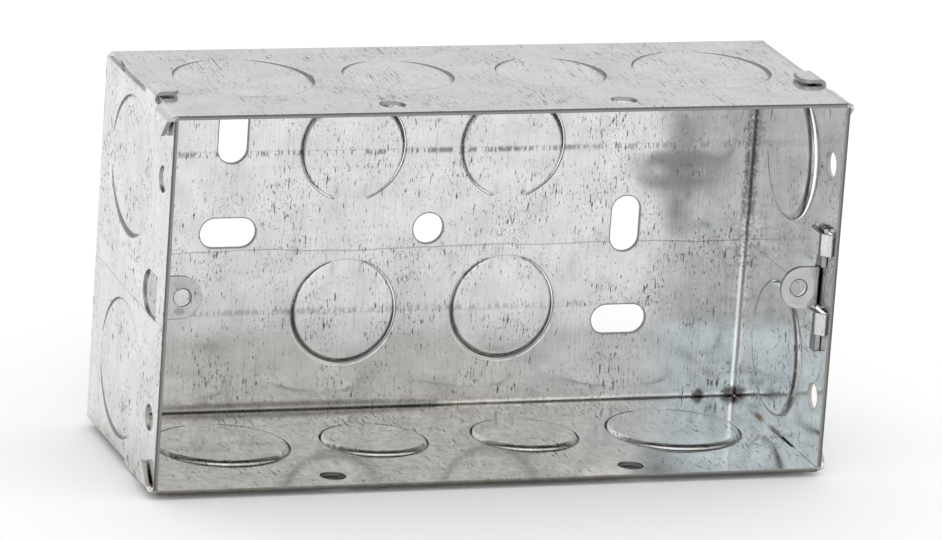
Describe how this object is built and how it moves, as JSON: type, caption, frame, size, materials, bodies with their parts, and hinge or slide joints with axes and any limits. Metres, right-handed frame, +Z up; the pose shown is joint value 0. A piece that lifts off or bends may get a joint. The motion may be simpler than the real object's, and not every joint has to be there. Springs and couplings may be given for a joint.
{
  "type": "flush back box",
  "caption": "Open-fronted box folded from galvanised sheet steel for a flush wall plate, with tied round cable entries, slotted back fixings, a fixed screw lug and a sliding screw lug.",
  "frame": {"origin": "centre of the back plate's outer face, on the axis of the centre fixing hole", "axes": "+X to the right along the box's length, +Y into the wall, away from the open front, +Z up"},
  "size_m": [0.1334, 0.047, 0.0742],
  "materials": {
    "galvanised_sheet": "galvanised, dull bright, with rolling streaks",
    "plated_lug": "zinc plated, satin"
  },
  "bodies": {
    "box": {"box_body": "galvanised_sheet"},
    "lug": {"adjustable_lug": "plated_lug"}
  },
  "joints": [
    {"name": "lug_slide", "type": "slide", "parent": "box", "child": "lug", "axis": [0, 0, 1], "range_m": [0, 0.0028]}
  ]
}
